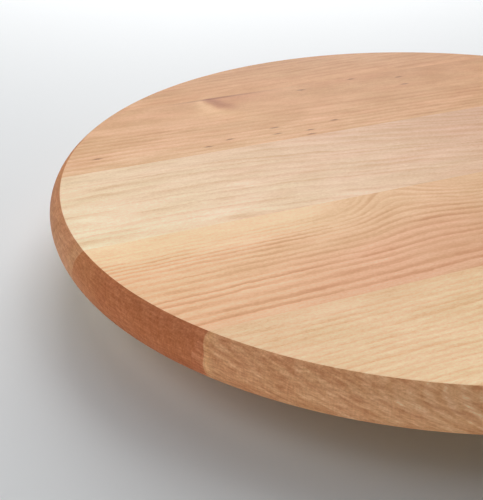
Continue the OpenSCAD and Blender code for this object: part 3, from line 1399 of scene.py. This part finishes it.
@dataclass
class Feet:
    """The four moulded rubber feet, with their washers and screws.

    Attributes:
        nodes: the feet's CAD nodes.
        edge: rounding of the lower edge.
        lip: rounding of the upper edge and of the well's mouth.
        groove: half width and depth of the ring pressed into the sole.
        hole: radius of the screw's hole.
        ledge: width of the ledge that the washer stands on.
        head_radius: radius of a foot screw's head.
        head_height: height of the head.
        shank_radius: radius of its thread.
        edge_steps: points on the lower edge's quarter circle.
        lip_steps: points on each of the other two.
        groove_steps: points on the groove's half circle.
        columns: points round a foot's axis.
    """

    nodes: tuple[str, ...] = ("foot_rear_left", "foot_rear_right", "foot_front_left", "foot_front_right")
    edge: float = 0.9 * MM
    lip: float = 0.4 * MM
    groove: float = 0.45 * MM
    hole: float = 1.8 * MM
    ledge: float = 0.3 * MM
    head_radius: float = 2.8 * MM
    head_height: float = 1.5 * MM
    shank_radius: float = 1.5 * MM
    edge_steps: int = 10
    lip_steps: int = 6
    groove_steps: int = 9
    columns: int = 72

    def section(self, radius: float, height: float, washer: float, low: float, high: float) -> np.ndarray:
        """Half section of a foot, once round.

        Quarter circles round the lower edge, the upper edge and the mouth
        of the well, and a half circle is pressed into the sole.

        Args:
            radius: the foot's radius.
            height: its height.
            washer: radius of the washer that it is moulded round.
            low: height of the washer's lower face.
            high: height of its upper face.

        Returns:
            Rows of distance from the axis and height.
        """
        well = washer - self.ledge
        quarter = math.pi / 2
        ring = (radius + well) / 2
        turn = np.linspace(0.0, math.pi, self.groove_steps)
        groove = np.column_stack((ring - self.groove * np.cos(turn), self.groove * np.sin(turn)))
        return np.vstack((
            [(self.hole, height), (self.hole, high), (washer, high), (washer, low), (well, low)],
            Arc(well + self.lip, self.lip, self.lip, math.pi, 3 * quarter, self.lip_steps).points(),
            groove,
            Arc(radius - self.edge, self.edge, self.edge, -quarter, 0.0, self.edge_steps).points(),
            Arc(radius - self.lip, height - self.lip, self.lip, 0.0, quarter, self.lip_steps).points(),
        ))

    def build(self) -> None:
        """Makes the feet and their screws, and dresses the washers."""
        rubber, screw = RUBBER.build(), SCREW_STEEL.build()
        washer_low, washer_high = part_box("foot_washers")
        for node in self.nodes:
            low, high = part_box(node)
            centre, radius = (low + high) / 2, size_between(low, high).x / 2
            washer = washer_high.x - abs(centre.x)
            section = self.section(radius, high.z, washer, washer_low.z, washer_high.z)
            piece = mesh_piece(f"{node}_moulded", *turned(section, centre, self.columns))
            hang_on(piece, node, "base", rubber)
        dress_node("foot_washers", screw)
        Screws("foot_screws", "base", self.head_radius, self.head_height, self.shank_radius,
               HeadSide.DOWN, pitch=1.2 * MM, tip=2.0 * MM).build(screw, SCREW_STEEL.slot)


# --------------------------------------------------------------------------
# Studio
# --------------------------------------------------------------------------


@dataclass
class Studio:
    """Pale floor, soft light and the camera.

    Attributes:
        yaw: how far the camera's plan direction is turned from +Y towards +X, in degrees.
        pitch: how far it looks down, in degrees.
        roll: how far it leans, in degrees.
        lens: focal length in mm on a sensor of 36 mm.
        camera: the camera's place.
        floor: radius of the floor.
        floor_steps: points round it.
        paint: its colour.
        fade: distances between which the floor fades into the backdrop.
        fade_centre: where those distances start, ahead of the axis in the camera's plan direction.
        room: strength of the room's even light.
        backdrop: brightness of the backdrop where it is looked at directly.
    """

    yaw: float = 20.756
    pitch: float = 28.989
    roll: float = -1.439
    lens: float = 62.64
    camera: tuple[float, float, float] = (-0.23924, -0.35066, 0.21829)
    floor: float = 4.0
    floor_steps: int = 96
    paint: RGB = (0.850, 0.866, 0.878)
    fade: tuple[float, float] = (1.15, 1.7)
    fade_centre: float = 0.60
    room: float = 0.04
    backdrop: float = 0.72

    def axes(self) -> tuple[Vector, Vector, Vector]:
        """The camera's right, up and backward directions.

        Returns:
            The three unit vectors.
        """
        pitch, roll = math.radians(self.pitch), math.radians(self.roll)
        plan, right = self.plan()
        ahead = plan * math.cos(pitch) - Vector((0.0, 0.0, math.sin(pitch)))
        up = right.cross(ahead)
        leant_right = right * math.cos(roll) + up * math.sin(roll)
        leant_up = up * math.cos(roll) - right * math.sin(roll)
        return leant_right, leant_up, -ahead

    def plan(self) -> tuple[Vector, Vector]:
        """The level directions ahead of the camera and to its right.

        Returns:
            The two unit vectors.
        """
        yaw = math.radians(self.yaw)
        return Vector((math.sin(yaw), math.cos(yaw), 0.0)), Vector((math.cos(yaw), -math.sin(yaw), 0.0))

    def add_camera(self) -> None:
        """Makes the camera and sets it as the scene's."""
        data = bpy.data.cameras.new("camera")
        data.sensor_width = 36.0
        data.lens = self.lens
        data.clip_start = 0.01
        data.clip_end = 50.0
        piece = bpy.data.objects.new("camera", data)
        right, up, back = self.axes()
        turn = Matrix((right, up, back)).transposed().to_4x4()
        piece.matrix_world = Matrix.Translation(self.camera) @ turn
        bpy.context.scene.collection.objects.link(piece)
        bpy.context.scene.camera = piece

    def add_floor(self) -> None:
        """Makes the floor: clear from below, and fading out far away.

        It is also clear to the light below it where that light is the first
        to reach what the camera sees, so that it shows the underside but
        doesn't brighten the tray's shadow.
        """
        turn = np.linspace(0.0, math.tau, self.floor_steps, endpoint=False)
        points = self.floor * np.column_stack((np.cos(turn), np.sin(turn), 0.0 * turn))
        piece = mesh_piece("studio_floor", points, [range(self.floor_steps)])
        graph = Graph("studio_floor")
        shader = graph.tree.nodes.new("ShaderNodeBsdfPrincipled")
        shader.inputs["Base Color"].default_value = (*self.paint, 1.0)
        shader.inputs["Roughness"].default_value = 0.75
        shader.inputs["Specular IOR Level"].default_value = 0.2
        clear = graph.tree.nodes.new("ShaderNodeBsdfTransparent")
        side = graph.tree.nodes.new("ShaderNodeNewGeometry")
        ray = graph.tree.nodes.new("ShaderNodeLightPath")
        choose = graph.tree.nodes.new("ShaderNodeMixShader")
        output = graph.tree.nodes.new("ShaderNodeOutputMaterial")
        x, y, _ = graph.place()
        centre = self.plan()[0] * self.fade_centre
        off_x = x * MM - centre.x
        off_y = y * MM - centre.y
        far = graph.math("SQRT", off_x * off_x + off_y * off_y).smooth(*self.fade)
        first = graph.math("LESS_THAN", Field(graph, ray.outputs["Ray Depth"]), 1.5)
        shadow = Field(graph, ray.outputs["Is Shadow Ray"]) * first
        below = graph.math("MAXIMUM", Field(graph, side.outputs["Backfacing"]), shadow)
        graph.feed(choose.inputs[0], graph.math("MAXIMUM", below, far))
        graph.tree.links.new(shader.outputs[0], choose.inputs[1])
        graph.tree.links.new(clear.outputs[0], choose.inputs[2])
        graph.tree.links.new(choose.outputs[0], output.inputs[0])
        piece.data.materials.append(graph.material)

    def add_light(self, name: str, ahead: float, aside: float, up: float, size: float, power: float,
                  tint: RGB = (1.0, 1.0, 1.0)) -> None:
        """Makes one square soft light that faces the tray.

        Args:
            name: the light's name.
            ahead: distance beyond the tray, along the camera's plan direction.
            aside: distance to the camera's right.
            up: height.
            size: side of the light.
            power: its power in watts.
            tint: its colour.
        """
        plan, right = self.plan()
        data = bpy.data.lights.new(name, "AREA")
        data.shape = "SQUARE"
        data.size = size
        data.energy = power
        data.color = tint
        piece = bpy.data.objects.new(name, data)
        piece.location = plan * ahead + right * aside + Vector((0.0, 0.0, up))
        piece.rotation_euler = (-piece.location).to_track_quat("-Z", "Y").to_euler()
        bpy.context.scene.collection.objects.link(piece)

    def add_world(self) -> None:
        """Makes the even light of the room, and a pale backdrop that only the camera sees."""
        world = bpy.data.worlds.new("studio")
        world.use_nodes = True
        tree = world.node_tree
        room = tree.nodes["Background"]
        room.inputs["Color"].default_value = (1.0, 1.0, 1.0, 1.0)
        room.inputs["Strength"].default_value = self.room
        pale = tree.nodes.new("ShaderNodeBackground")
        pale.inputs["Color"].default_value = (1.0, 1.0, 1.0, 1.0)
        pale.inputs["Strength"].default_value = self.backdrop
        ray = tree.nodes.new("ShaderNodeLightPath")
        choose = tree.nodes.new("ShaderNodeMixShader")
        tree.links.new(ray.outputs["Is Camera Ray"], choose.inputs[0])
        tree.links.new(room.outputs[0], choose.inputs[1])
        tree.links.new(pale.outputs[0], choose.inputs[2])
        tree.links.new(choose.outputs[0], tree.nodes["World Output"].inputs["Surface"])
        bpy.context.scene.world = world

    def build(self) -> None:
        """Sets up the studio."""
        self.add_camera()
        self.add_floor()
        self.add_world()
        self.add_light("window", ahead=1.6, aside=0.0, up=0.8, size=1.2, power=24.4)
        self.add_light("ceiling", ahead=0.9, aside=-0.2, up=1.5, size=1.3, power=7.4)
        self.add_light("left_wall", ahead=0.0, aside=-1.5, up=1.2, size=1.2, power=9.9)
        self.add_light("right_lamp", ahead=0.45, aside=0.5, up=1.2, size=0.45, power=1.7)
        self.add_light("fill", ahead=-1.15, aside=-0.4, up=0.11, size=0.2, power=2.85,
                       tint=(0.84, 0.97, 1.0))
        self.add_light("below", ahead=0.0, aside=0.0, up=-0.14, size=0.2, power=0.12)
        bpy.context.scene.view_settings.view_transform = "Standard"


def main() -> None:
    """Builds the studio and the turntable."""
    logging.basicConfig(level=logging.INFO, format="%(name)s: %(message)s")
    Studio().build()
    for part in (Tray(), Base(), Bearing(), Feet()):
        part.build()


if __name__ == "__main__":
    main()
